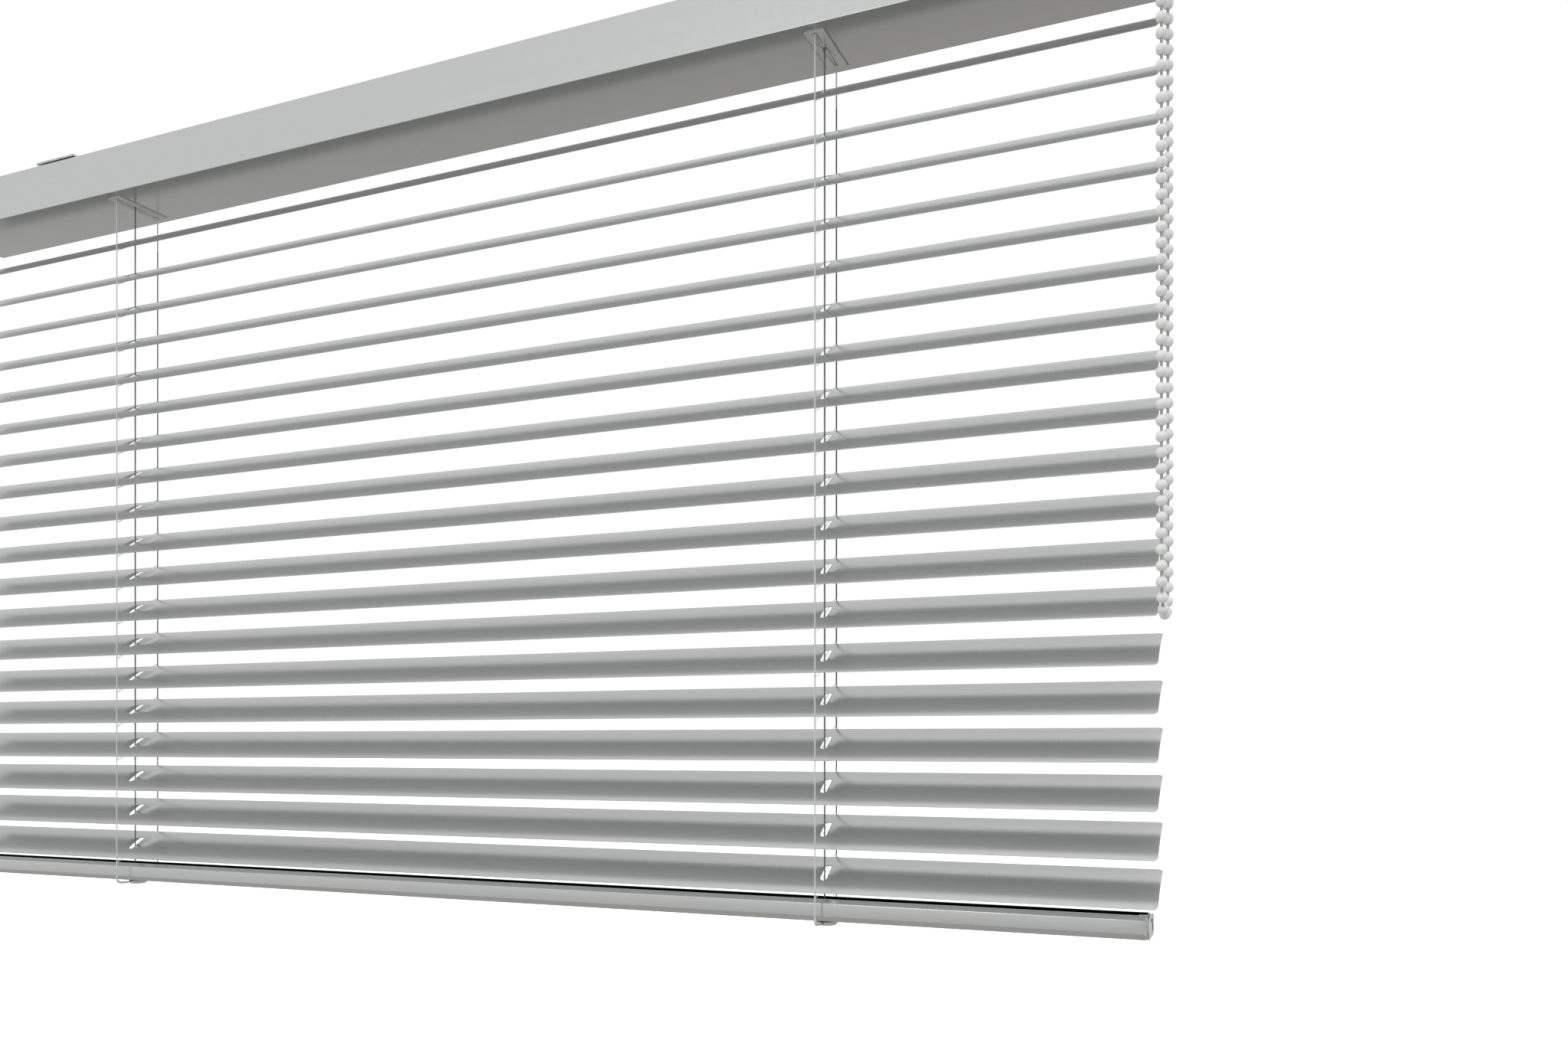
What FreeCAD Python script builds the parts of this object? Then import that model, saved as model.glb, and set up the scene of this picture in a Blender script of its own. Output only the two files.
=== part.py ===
import FreeCAD, Part
import math
import os

import Sketcher

# A venetian blind: nineteen 25 mm slats on two string ladders under a headrail, lifted by
# two cords and driven by a bead chain at the right end.
# Frame: +X along the slats to the right, +Y towards the window, +Z up. The origin is at the
# middle of the face that the two mounting brackets press against the ceiling.

Vector = FreeCAD.Vector
Rotation = FreeCAD.Rotation
Placement = FreeCAD.Placement

ALONG_X = Rotation(Vector(0, 1, 0), 90)

os.makedirs("parts", exist_ok=True)
doc = FreeCAD.newDocument("venetian_blind")

# ---------------------------------------------------------------- driving dimensions (mm)
DIMENSIONS = [
    ("slat_length", 700),
    ("slat_width", 25),
    ("slat_thick", 0.22),
    ("crown_radius", 48),
    ("slat_corner", 2),
    ("slat_pitch", 19),
    ("slat_count", 19),
    ("slat_tilt", 33.6),
    ("top_slat_drop", 47),
    ("slot_length", 10),
    ("slot_width", 3.2),
    ("slot_shift", 0.6),
    ("slot_forward", 0.4),
    ("ladder_spread", 418),
    ("string_spacing", 26.7),
    ("string_diameter", 0.7),
    ("cord_diameter", 0.8),
    ("cord_forward", 1.5),
    ("rail_half_length", 344.9),
    ("rail_depth", 18),
    ("rail_height", 9.3),
    ("rail_wall", 0.8),
    ("rail_opening", 8.6),
    ("rail_lip", 5.3),
    ("rail_shoulder", 1.35),
    ("rail_chamfer", 2.3),
    ("rail_chamfer_run", 1),
    ("rail_gap", 9.9),
    ("rail_cap_thick", 1.7),
    ("plug_radius", 4.8),
    ("plug_thick", 2.7),
    ("plug_stem_radius", 2.9),
    ("plug_shift", 0.6),
    ("head_left", 348),
    ("head_right", 346),
    ("head_depth", 40),
    ("head_height", 25),
    ("head_wall", 0.8),
    ("head_lip", 5),
    ("head_drop", 2),
    ("shaft_drop", 14.5),
    ("shaft_square", 5),
    ("journal_radius", 2.4),
    ("hub_radius", 4),
    ("hub_left", 7.5),
    ("hub_right", 20.5),
    ("running_gap", 0.05),
    ("spool_core", 7.6),
    ("spool_flange", 9),
    ("spool_left", 4.6),
    ("spool_right", 17.4),
    ("drum_core", 8),
    ("drum_flange", 9),
    ("drum_left", 4.5),
    ("drum_right", 4.2),
    ("flange_thick", 1),
    ("cradle_wall", 1.5),
    ("cradle_left", 7),
    ("cradle_right", 20),
    ("bracket_spread", 500),
    ("bracket_width", 30),
    ("screw_spacing", 16),
    ("screw_hole_radius", 2.1),
    ("unit_front", 33),
    ("unit_back", 20),
    ("unit_step", 1.5),
    ("unit_floor", 34.2),
    ("unit_width", 14),
    ("unit_wall", 1.2),
    ("cover_thick", 1.5),
    ("wheel_forward", 16.02),
    ("wheel_drop", 18),
    ("chain_plane", 353),
    ("bead_diameter", 4.3),
    ("bead_pitch", 6),
    ("pocket_count", 13),
    ("gear_module", 0.8),
    ("wheel_teeth", 21),
    ("shaft_teeth", 20),
    ("chain_bottom", 281.9),
]

dims = doc.addObject("Spreadsheet::Sheet", "dims")
for row, (alias, value) in enumerate(DIMENSIONS, start=1):
    dims.set(f"A{row}", alias)
    dims.set(f"B{row}", str(value))
    dims.setAlias(f"B{row}", alias)
doc.recompute()


def size(alias):
    """The value of one cell of the sheet."""
    return float(getattr(dims, alias))


# ---------------------------------------------------------------- derived places
LADDER_X = size("ladder_spread") / 2
STRING_Y = size("string_spacing") / 2
STRING_R = size("string_diameter") / 2
SLAT_COUNT = int(size("slat_count"))
SLAT_Z = [-size("top_slat_drop") - size("slat_pitch") * k for k in range(SLAT_COUNT)]
RAIL_TOP = SLAT_Z[-1] - size("rail_gap")
RAIL_BOTTOM = RAIL_TOP - size("rail_height")
SHAFT_Z = -size("shaft_drop")
CRADLE_TOP = -size("head_drop") - size("head_height") + size("head_wall") + 1.2
SIDES = (("left", -1), ("right", 1))

LADDER = "dims.ladder_spread / 2"
LOWEST_SLAT = "(-dims.top_slat_drop - dims.slat_pitch * (dims.slat_count - 1))"
RAIL_TOP_EXPR = f"({LOWEST_SLAT} - dims.rail_gap)"
RAIL_BOTTOM_EXPR = f"({LOWEST_SLAT} - dims.rail_gap - dims.rail_height)"
HEAD_FLOOR = "(-dims.head_drop - dims.head_height + dims.head_wall)"

nodes = {}
used_names = set()


# ---------------------------------------------------------------- modelling helpers
def unique(name):
    """A document name that no other object has."""
    number = 1
    while f"{name}_{number}" in used_names:
        number += 1
    used_names.add(f"{name}_{number}")
    return f"{name}_{number}"


def bind(thing, **expressions):
    """Bind properties to expressions; base_x, base_y and base_z are the placement's."""
    for prop, expression in expressions.items():
        path = f"Placement.Base.{prop[-1]}" if prop.startswith("base_") else prop
        thing.setExpression(path, str(expression))


def box(x, y, z):
    """A box from three pairs of expressions, low and high along each axis."""
    solid = doc.addObject("Part::Box", unique("box"))
    bind(solid, Length=f"({x[1]}) - ({x[0]})", Width=f"({y[1]}) - ({y[0]})")
    bind(solid, Height=f"({z[1]}) - ({z[0]})")
    bind(solid, base_x=x[0], base_y=y[0], base_z=z[0])
    return solid


def rod(x, y, z, radius):
    """A cylinder along X from x[0] to x[1], with its axis at y and z."""
    solid = doc.addObject("Part::Cylinder", unique("rod"))
    solid.Placement = Placement(Vector(), ALONG_X)
    bind(solid, Radius=radius, Height=f"({x[1]}) - ({x[0]})")
    bind(solid, base_x=x[0], base_y=y, base_z=z)
    return solid


def post(x, y, z, radius):
    """A cylinder along Z from z[0] to z[1], with its axis at x and y."""
    solid = doc.addObject("Part::Cylinder", unique("post"))
    bind(solid, Radius=radius, Height=f"({z[1]}) - ({z[0]})")
    bind(solid, base_x=x, base_y=y, base_z=z[0])
    return solid


def fuse(*solids):
    joined = doc.addObject("Part::MultiFuse", unique("fuse"))
    joined.Shapes = list(solids)
    return joined


def cut(base, *tools):
    result = doc.addObject("Part::Cut", unique("cut"))
    result.Base = base
    result.Tool = tools[0] if len(tools) == 1 else fuse(*tools)
    return result


def feature(shape):
    """A plain feature for a shape that needs Part's own functions."""
    thing = doc.addObject("Part::Feature", unique("shape"))
    thing.Shape = shape
    return thing


def node(name, thing):
    """Name the object of one finished sub-part."""
    thing.Label = name
    nodes[name] = thing
    return thing


def origin_plane(body, role):
    return [plane for plane in body.Origin.OriginFeatures if plane.Role == role][0]


def new_sketch(body, role):
    sketch = body.newObject("Sketcher::SketchObject", unique("sketch"))
    sketch.AttachmentSupport = [(origin_plane(body, role), "")]
    sketch.MapMode = "FlatFace"
    return sketch


def pin_point(sketch, geometry, end, x, y):
    """Hold one end point of a sketch line at a pair of expressions."""
    point = sketch.getPoint(geometry, end)
    for kind, value, expression in (("DistanceX", point.x, x), ("DistanceY", point.y, y)):
        number = sketch.addConstraint(Sketcher.Constraint(kind, -1, 1, geometry, end, value))
        name = f"{kind}_{geometry}_{end}"
        sketch.renameConstraint(number, name)
        sketch.setExpression(f"Constraints.{name}", expression)


def add_outline(sketch, corners):
    """A closed outline of straight lines whose corners are (x, y) expressions."""
    first = sketch.GeometryCount
    points = [Vector(number(x), number(y), 0) for x, y in corners]
    total = len(points)
    for index in range(total):
        line = Part.LineSegment(points[index], points[(index + 1) % total])
        sketch.addGeometry(line)
    for index in range(total):
        following = first + (index + 1) % total
        sketch.addConstraint(Sketcher.Constraint("Coincident", first + index, 2, following, 1))
    for index, (x, y) in enumerate(corners):
        pin_point(sketch, first + index, 1, x, y)


def number(expression):
    """The value of an expression in the sheet's aliases, through a scratch cell."""
    dims.set("D1", f"={str(expression).replace('dims.', '')}")
    dims.recompute()
    return float(dims.get("D1"))


def extrusion(corners, low_x, length):
    """A PartDesign body: an outline in the YZ plane, padded along X from low_x."""
    body = doc.addObject("PartDesign::Body", unique("body"))
    sketch = new_sketch(body, "YZ_Plane")
    add_outline(sketch, corners)
    pad = body.newObject("PartDesign::Pad", unique("pad"))
    pad.Profile = sketch
    bind(pad, Length=length)
    bind(body, base_x=low_x)
    return body


def bent_tube(points, radius, bends):
    """A round tube along straight runs joined by tangent arcs, one bend radius a corner."""
    edges = []
    start = points[0]
    for corner, after, bend in zip(points[1:-1], points[2:], bends):
        back = (start - corner).normalize()
        ahead = (after - corner).normalize()
        half = (math.pi - back.getAngle(ahead)) / 2
        reach = bend * math.tan(half)
        enter = corner + back * reach
        leave = corner + ahead * reach
        middle = (back + ahead).normalize()
        top = corner + middle * (bend / math.cos(half) - bend)
        edges.append(Part.LineSegment(start, enter).toShape())
        edges.append(Part.Arc(enter, top, leave).toShape())
        start = leave
    edges.append(Part.LineSegment(start, points[-1]).toShape())
    path = Part.Wire(edges)
    section = Part.Wire(Part.makeCircle(radius, points[0], points[1] - points[0]))
    tube = path.makePipeShell([section], True, False)
    expected = math.pi * radius**2 * path.Length
    if abs(tube.Volume - expected) > 0.01 * expected:
        raise ValueError("a bent tube's volume is wrong")
    return tube, path.Length


# ---------------------------------------------------------------- slats
CROWN_CENTRE = "-sqrt(dims.crown_radius ^ 2 - dims.slat_width ^ 2 / 4)"


def slat_section(body):
    """The slat's crowned section: two arcs about one centre and two short radial ends."""
    sketch = new_sketch(body, "YZ_Plane")
    radius = size("crown_radius")
    half_thick = size("slat_thick") / 2
    half_angle = math.asin(size("slat_width") / 2 / radius)
    centre = Vector(0, -radius * math.cos(half_angle), 0)
    arcs = []
    for curve in (radius + half_thick, radius - half_thick):
        circle = Part.Circle(centre, Vector(0, 0, 1), curve)
        arc = Part.ArcOfCircle(circle, math.pi / 2 - half_angle, math.pi / 2 + half_angle)
        arcs.append(sketch.addGeometry(arc))
    outer, inner = arcs
    for end in (1, 2):
        line = Part.LineSegment(sketch.getPoint(outer, end), sketch.getPoint(inner, end))
        closing = sketch.addGeometry(line)
        sketch.addConstraint(Sketcher.Constraint("Coincident", outer, end, closing, 1))
        sketch.addConstraint(Sketcher.Constraint("Coincident", inner, end, closing, 2))
    sketch.addConstraint(Sketcher.Constraint("Coincident", outer, 3, inner, 3))
    sketch.addConstraint(Sketcher.Constraint("PointOnObject", outer, 3, -2))
    drop = sketch.addConstraint(Sketcher.Constraint("DistanceY", -1, 1, outer, 3, centre.y))
    sketch.renameConstraint(drop, "crown_centre")
    sketch.setExpression("Constraints.crown_centre", CROWN_CENTRE)
    for arc, sign, name in ((outer, "+", "outer_radius"), (inner, "-", "inner_radius")):
        value = radius + half_thick if sign == "+" else radius - half_thick
        held = sketch.addConstraint(Sketcher.Constraint("Radius", arc, value))
        sketch.renameConstraint(held, name)
        expression = f"dims.crown_radius {sign} dims.slat_thick / 2"
        sketch.setExpression(f"Constraints.{name}", expression)
        share = f"({expression}) / dims.crown_radius"
        for end, side in ((1, ""), (2, "-")):
            reach = sketch.getPoint(arc, end).x
            spot = Sketcher.Constraint("DistanceX", -1, 1, arc, end, reach)
            held = sketch.addConstraint(spot)
            sketch.renameConstraint(held, f"{name}_end{end}")
            edge = f"{side}dims.slat_width / 2 * {share}"
            sketch.setExpression(f"Constraints.{name}_end{end}", edge)
    return sketch


def add_slot(sketch, centre_x):
    """A round-ended slot along the slat's width, at the expression centre_x."""
    middle = number(centre_x)
    half_width = size("slot_width") / 2
    straight = size("slot_length") / 2 - half_width
    forward = size("slot_forward")
    upper = Part.Circle(Vector(middle, straight - forward, 0), Vector(0, 0, 1), half_width)
    lower = Part.Circle(Vector(middle, -straight - forward, 0), Vector(0, 0, 1), half_width)
    top = sketch.addGeometry(Part.ArcOfCircle(upper, 0, math.pi))
    bottom = sketch.addGeometry(Part.ArcOfCircle(lower, math.pi, 2 * math.pi))
    left = Part.LineSegment(sketch.getPoint(top, 2), sketch.getPoint(bottom, 1))
    right = Part.LineSegment(sketch.getPoint(bottom, 2), sketch.getPoint(top, 1))
    left = sketch.addGeometry(left)
    right = sketch.addGeometry(right)
    for first, second in (((top, 2), (left, 1)), ((left, 2), (bottom, 1))):
        sketch.addConstraint(Sketcher.Constraint("Tangent", *first, *second))
    for first, second in (((bottom, 2), (right, 1)), ((right, 2), (top, 1))):
        sketch.addConstraint(Sketcher.Constraint("Tangent", *first, *second))
    straight_expr = "dims.slot_length / 2 - dims.slot_width / 2"
    pin_point(sketch, top, 3, centre_x, f"{straight_expr} - dims.slot_forward")
    pin_point(sketch, bottom, 3, centre_x, f"-({straight_expr}) - dims.slot_forward")
    held = sketch.addConstraint(Sketcher.Constraint("Radius", top, half_width))
    sketch.renameConstraint(held, f"slot_radius_{top}")
    sketch.setExpression(f"Constraints.slot_radius_{top}", "dims.slot_width / 2")


def slat(index):
    """One slat: a crowned strip with rounded corners and two cord slots, at its tilt."""
    body = doc.addObject("PartDesign::Body", unique("slat"))
    pad = body.newObject("PartDesign::Pad", unique("strip"))
    pad.Profile = slat_section(body)
    pad.SideType = "Symmetric"
    bind(pad, Length="dims.slat_length")
    doc.recompute()
    solid_volume = pad.Shape.Volume
    slots = new_sketch(body, "XY_Plane")
    add_slot(slots, f"-{LADDER} + dims.slot_shift")
    add_slot(slots, f"{LADDER} + dims.slot_shift")
    pocket = body.newObject("PartDesign::Pocket", unique("slots"))
    pocket.Profile = slots
    pocket.Type = "ThroughAll"
    pocket.Reversed = True
    doc.recompute()
    if pocket.Shape.Volume > solid_volume - size("slot_length") * size("slat_thick"):
        raise ValueError("the cord slots cut nothing")
    corners = body.newObject("PartDesign::Fillet", unique("corners"))
    corners.Base = (pocket, slat_corner_edges(pocket.Shape))
    bind(corners, Radius="dims.slat_corner")
    body.Tip = corners
    body.Placement = Placement(Vector(), Rotation(Vector(1, 0, 0), size("slat_tilt")))
    bind(body, base_z=f"-dims.top_slat_drop - dims.slat_pitch * {index}")
    body.setExpression("Placement.Rotation.Angle", "dims.slat_tilt")
    return body


def slat_corner_edges(shape):
    """The four short edges through the thickness at the strip's corners."""
    found = []
    for count, edge in enumerate(shape.Edges, start=1):
        centre = edge.CenterOfMass
        at_end = abs(abs(centre.x) - size("slat_length") / 2) < 0.01
        if at_end and edge.Length < 2 * size("slat_thick"):
            found.append(f"Edge{count}")
    if len(found) != 4:
        raise ValueError("a slat has four corners")
    return found


for index in range(SLAT_COUNT):
    node(f"slat_{index + 1:02d}", slat(index))


# ---------------------------------------------------------------- string ladders
def ladder_strings(top, length):
    """The four vertical ladder strings, two a ladder, from the expression top down."""
    strings = []
    for _, side in SIDES:
        for depth in (-1, 1):
            x = f"{side} * {LADDER}"
            y = f"{depth} * dims.string_spacing / 2"
            low = f"({top}) - {length}"
            strings.append(post(x, y, (low, top), "dims.string_diameter / 2"))
    return fuse(*strings)


for index in range(1, SLAT_COUNT):
    above = f"-dims.top_slat_drop - dims.slat_pitch * {index - 1}"
    node(f"ladder_segment_{index + 1:02d}", ladder_strings(above, "dims.slat_pitch"))

GUIDE_Z = CRADLE_TOP + 0.6
DRUM_STRING_Y = size("drum_core") + STRING_R + 0.4


def top_strings():
    """The ladders' tops, from the drums down through the guides to the first slat."""
    tubes = []
    for _, side in SIDES:
        for depth in (-1, 1):
            route = [
                Vector(side * LADDER_X, depth * DRUM_STRING_Y, SHAFT_Z),
                Vector(side * LADDER_X, depth * STRING_Y, GUIDE_Z),
                Vector(side * LADDER_X, depth * STRING_Y, SLAT_Z[0]),
            ]
            tubes.append(bent_tube(route, STRING_R, [2.0])[0])
    return Part.makeCompound(tubes)


TAIL_TURN_Z = RAIL_BOTTOM - 2.5
TAIL_END_Z = RAIL_BOTTOM - 1.9


def tail_strings():
    """The ladders' tails: past the rail, round under it and up to the plugs' rims."""
    tubes = []
    for _, side in SIDES:
        for depth in (-1, 1):
            x = side * LADDER_X
            end_y = depth * (size("plug_radius") + 0.05)
            route = [
                Vector(x, depth * STRING_Y, SLAT_Z[-1]),
                Vector(x, depth * STRING_Y, TAIL_TURN_Z),
                Vector(x, end_y, TAIL_END_Z),
            ]
            tubes.append(bent_tube(route, STRING_R, [3.0])[0])
    return Part.makeCompound(tubes)


node("ladder_tops", feature(top_strings()))
node("ladder_tails", feature(tail_strings()))

# ---------------------------------------------------------------- lift cords
CORD_R = size("cord_diameter") / 2
SPOOL_MIDDLE = 11
CORD_RUN_Z = CRADLE_TOP + 0.6
KNOT_Z = RAIL_BOTTOM + 3.4
KNOT_R = 1.0


def lift_cord(side):
    """A lift cord: off its spool, across under the drum, then down to a knot in the rail."""
    x = side * LADDER_X
    spool_y = -(size("spool_core") + CORD_R + 0.4)
    route = [
        Vector(x + SPOOL_MIDDLE, spool_y, SHAFT_Z),
        Vector(x + SPOOL_MIDDLE, spool_y, CORD_RUN_Z),
        Vector(x, -size("cord_forward"), CORD_RUN_Z),
        Vector(x, -size("cord_forward"), KNOT_Z),
    ]
    tube = bent_tube(route, CORD_R, [1.5, 1.2])[0]
    knot = Part.makeSphere(KNOT_R, route[-1])
    return tube.fuse(knot).removeSplitter()


for name, side in SIDES:
    node(f"lift_cord_{name}", feature(lift_cord(side)))


# ---------------------------------------------------------------- bottom rail
def rail_right():
    """The right half of the rail's outline: flat lip, shoulder, front, chamfer and floor."""
    half = "dims.rail_depth / 2"
    return [
        ("dims.rail_opening / 2", RAIL_TOP_EXPR),
        ("dims.rail_lip", RAIL_TOP_EXPR),
        (half, f"{RAIL_TOP_EXPR} - dims.rail_shoulder"),
        (half, f"{RAIL_BOTTOM_EXPR} + dims.rail_chamfer"),
        (f"{half} - dims.rail_chamfer_run", RAIL_BOTTOM_EXPR),
    ]


def mirrored(corners):
    """The same corners across the XZ plane, in the reverse order."""
    return [(f"-({y})", z) for y, z in reversed(corners)]


def rail_outline():
    """The bottom rail's C-section: two flat lips beside an opening along its top."""
    half = "dims.rail_depth / 2"
    wall = "dims.rail_wall"
    inner = [
        (f"{half} - dims.rail_chamfer_run - {wall} / 2", f"{RAIL_BOTTOM_EXPR} + {wall}"),
        (f"{half} - {wall}", f"{RAIL_BOTTOM_EXPR} + dims.rail_chamfer"),
        (f"{half} - {wall}", f"{RAIL_TOP_EXPR} - dims.rail_shoulder - 0.7 * {wall}"),
        ("dims.rail_lip", f"{RAIL_TOP_EXPR} - {wall}"),
        ("dims.rail_opening / 2", f"{RAIL_TOP_EXPR} - {wall}"),
    ]
    return rail_right() + mirrored(rail_right()) + mirrored(inner) + inner


def bottom_rail():
    length = "dims.rail_half_length * 2"
    strip = extrusion(rail_outline(), "-dims.rail_half_length", length)
    holes = []
    for _, side in SIDES:
        x = f"{side} * {LADDER} + dims.plug_shift"
        z = (f"{RAIL_BOTTOM_EXPR} - 1", f"{RAIL_BOTTOM_EXPR} + 2")
        holes.append(post(x, 0, z, "dims.plug_stem_radius + 0.1"))
    return cut(strip, *holes)


def rail_cap(side):
    """An end cap for the bottom rail: a plate of its outline and a plug inside it."""
    outline = rail_right() + mirrored(rail_right())
    if side > 0:
        low = "dims.rail_half_length"
        insert = ("dims.rail_half_length - 4", "dims.rail_half_length + 0.5")
    else:
        low = "-dims.rail_half_length - dims.rail_cap_thick"
        insert = ("-dims.rail_half_length - 0.5", "-dims.rail_half_length + 4")
    plate = extrusion(outline, low, "dims.rail_cap_thick")
    depth = ("-dims.rail_depth / 2 + 2.6", "dims.rail_depth / 2 - 2.6")
    height = (f"{RAIL_BOTTOM_EXPR} + 1.4", f"{RAIL_TOP_EXPR} - 2.6")
    return fuse(plate, box(insert, depth, height))


def ladder_plug(side):
    """The button that holds a ladder's strings under the rail, with its stem."""
    x = f"{side} * {LADDER} + dims.plug_shift"
    low = f"{RAIL_BOTTOM_EXPR} - dims.plug_thick"
    rim = post(x, 0, (f"{low} + 1.2", RAIL_BOTTOM_EXPR), "dims.plug_radius")
    dome = doc.addObject("Part::Cone", unique("dome"))
    bind(dome, Radius1="dims.plug_radius - 1.2", Radius2="dims.plug_radius", Height="1.2")
    bind(dome, base_x=x, base_z=low)
    stem = post(x, 0, (f"{RAIL_BOTTOM_EXPR} - 0.5", f"{RAIL_BOTTOM_EXPR} + 2.2"),
                "dims.plug_stem_radius")
    return fuse(rim, dome, stem)


node("bottom_rail", bottom_rail())
for name, side in SIDES:
    node(f"rail_end_cap_{name}", rail_cap(side))
node("ladder_plugs", fuse(*[ladder_plug(side) for _, side in SIDES]))


# ---------------------------------------------------------------- headrail
def headrail():
    """An open-topped channel with inward lips, and a hole in its floor at each ladder."""
    half = "dims.head_depth / 2"
    wall = "dims.head_wall"
    top = "-dims.head_drop"
    floor = "-dims.head_drop - dims.head_height"
    outline = [
        (f"-{half} + dims.head_lip", top),
        (f"-{half}", top),
        (f"-{half}", floor),
        (half, floor),
        (half, top),
        (f"{half} - dims.head_lip", top),
        (f"{half} - dims.head_lip", f"{top} - {wall}"),
        (f"{half} - {wall}", f"{top} - {wall}"),
        (f"{half} - {wall}", f"{floor} + {wall}"),
        (f"-{half} + {wall}", f"{floor} + {wall}"),
        (f"-{half} + {wall}", f"{top} - {wall}"),
        (f"-{half} + dims.head_lip", f"{top} - {wall}"),
    ]
    channel = extrusion(outline, "-dims.head_left", "dims.head_left + dims.head_right")
    holes = []
    for _, side in SIDES:
        x = (f"{side} * {LADDER} - 5", f"{side} * {LADDER} + 5")
        holes.append(box(x, ("-16", "16"), (f"{floor} - 1", f"{floor} + 2")))
    return cut(channel, *holes)


def head_plug(low, high):
    """A hollow spigot that slides into the headrail's end."""
    reach = "dims.head_depth / 2 - dims.head_wall - 0.2"
    top = "-dims.head_drop - dims.head_wall - 0.2"
    floor = f"{HEAD_FLOOR} + 0.2"
    sleeve = box((low, high), (f"-({reach})", reach), (floor, top))
    inner = (f"-({reach}) + 1.2", f"{reach} - 1.2")
    hollow = box((f"{low} - 1", f"{high} + 1"), inner, (f"{floor} + 1.2", f"{top} - 1.2"))
    return cut(sleeve, hollow)


def end_cap_left():
    outer = "-dims.head_left"
    plate = box(
        (f"{outer} - 2", outer),
        ("-dims.head_depth / 2", "dims.head_depth / 2"),
        ("-dims.head_drop - dims.head_height", "-dims.head_drop"),
    )
    return fuse(plate, head_plug(f"{outer} - 0.5", f"{outer} + 6"))


def bracket(side):
    """A ceiling bracket: a plate, and a tee that the headrail's lips hang on."""
    x = f"{side} * dims.bracket_spread / 2"
    wide = (f"{x} - dims.bracket_width / 2", f"{x} + dims.bracket_width / 2")
    plate = box(wide, ("-dims.head_depth / 2", "dims.head_depth / 2"), ("-1.2", "0"))
    neck_half = "dims.head_depth / 2 - dims.head_lip - 1.5"
    neck = box((f"{x} - 10", f"{x} + 10"), (f"-({neck_half})", neck_half), ("-4", "-1"))
    wing_half = "dims.head_depth / 2 - dims.head_wall - 1.7"
    wings = box((f"{x} - 10", f"{x} + 10"), (f"-({wing_half})", wing_half), ("-4.4", "-3"))
    holes = []
    for depth in (-1, 1):
        y = f"{depth} * dims.screw_spacing / 2"
        holes.append(post(x, y, ("-6", "1"), "dims.screw_hole_radius"))
    return cut(fuse(plate, neck, wings), *holes)


node("headrail", headrail())
node("end_cap_left", end_cap_left())
node("mounting_brackets", fuse(*[bracket(side) for _, side in SIDES]))

# ---------------------------------------------------------------- shaft, spools and drums
SHAFT_AXIS = ("0", "-dims.shaft_drop")
SQUARE_END = "dims.head_right - 1"


def drive_shaft():
    half = "dims.shaft_square / 2"
    depth = (f"-{half}", half)
    height = (f"-dims.shaft_drop - {half}", f"-dims.shaft_drop + {half}")
    square = box((f"-{LADDER} - 12", SQUARE_END), depth, height)
    tip = rod((SQUARE_END, "dims.head_right + 3.7"), *SHAFT_AXIS, "dims.journal_radius")
    return fuse(square, tip)


def lift_spool(side):
    """A spool: a hub that the drum turns on, a core between two flanges, a square bore."""
    x = f"{side} * {LADDER}"
    left = f"{x} + dims.spool_left"
    right = f"{x} + dims.spool_right"
    hub = rod((f"{x} - dims.hub_left", f"{x} + dims.hub_right"), *SHAFT_AXIS, "dims.hub_radius")
    core = rod((left, right), *SHAFT_AXIS, "dims.spool_core")
    near = rod((left, f"{left} + dims.flange_thick"), *SHAFT_AXIS, "dims.spool_flange")
    far = rod((f"{right} - dims.flange_thick", right), *SHAFT_AXIS, "dims.spool_flange")
    half = "dims.shaft_square / 2 + dims.running_gap"
    depth = (f"-({half})", half)
    height = (f"-dims.shaft_drop - ({half})", f"-dims.shaft_drop + ({half})")
    bore = box((f"{x} - dims.hub_left - 1", f"{x} + dims.hub_right + 1"), depth, height)
    return cut(fuse(hub, core, near, far), bore)


def tilt_drum(side):
    """A drum that carries a ladder's two strings, turning on the spool's hub."""
    x = f"{side} * {LADDER}"
    left = f"{x} - dims.drum_left"
    right = f"{x} + dims.drum_right"
    core = rod((left, right), *SHAFT_AXIS, "dims.drum_core")
    near = rod((left, f"{left} + dims.flange_thick"), *SHAFT_AXIS, "dims.drum_flange")
    far = rod((f"{right} - dims.flange_thick", right), *SHAFT_AXIS, "dims.drum_flange")
    bore_radius = "dims.hub_radius + dims.running_gap"
    bore = rod((f"{left} - 1", f"{right} + 1"), *SHAFT_AXIS, bore_radius)
    return cut(fuse(core, near, far), bore)


def cradle(side):
    """A cradle on the headrail's floor: two bearing walls and a nozzle with cord guides."""
    x = f"{side} * {LADDER}"
    floor = HEAD_FLOOR
    left = f"{x} - dims.cradle_left"
    right = f"{x} + dims.cradle_right"
    base = box((f"{left} - 1", f"{right} + 1"), ("-18", "18"), (floor, f"{floor} + 1.2"))
    nozzle = box((f"{x} - 4.5", f"{x} + 4.5"), ("-15.5", "15.5"), (f"{floor} - 1.4", floor))
    height = (f"{floor} + 1", "-dims.shaft_drop + 6.5")
    near = box((left, f"{left} + dims.cradle_wall"), ("-12", "12"), height)
    far = box((f"{right} - dims.cradle_wall", right), ("-12", "12"), height)
    bore_radius = "dims.hub_radius + dims.running_gap"
    bore = rod((f"{left} - 1", f"{right} + 1"), *SHAFT_AXIS, bore_radius)
    depths = ["-dims.string_spacing / 2", "dims.string_spacing / 2", "-dims.cord_forward"]
    guides = [post(x, y, (f"{floor} - 3", f"{floor} + 3"), "0.9") for y in depths]
    return cut(fuse(base, nozzle, near, far), bore, *guides)


node("drive_shaft", drive_shaft())
for name, side in SIDES:
    node(f"lift_spool_{name}", lift_spool(side))
    node(f"tilt_drum_{name}", tilt_drum(side))
node("drum_cradles", fuse(*[cradle(side) for _, side in SIDES]))

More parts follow.
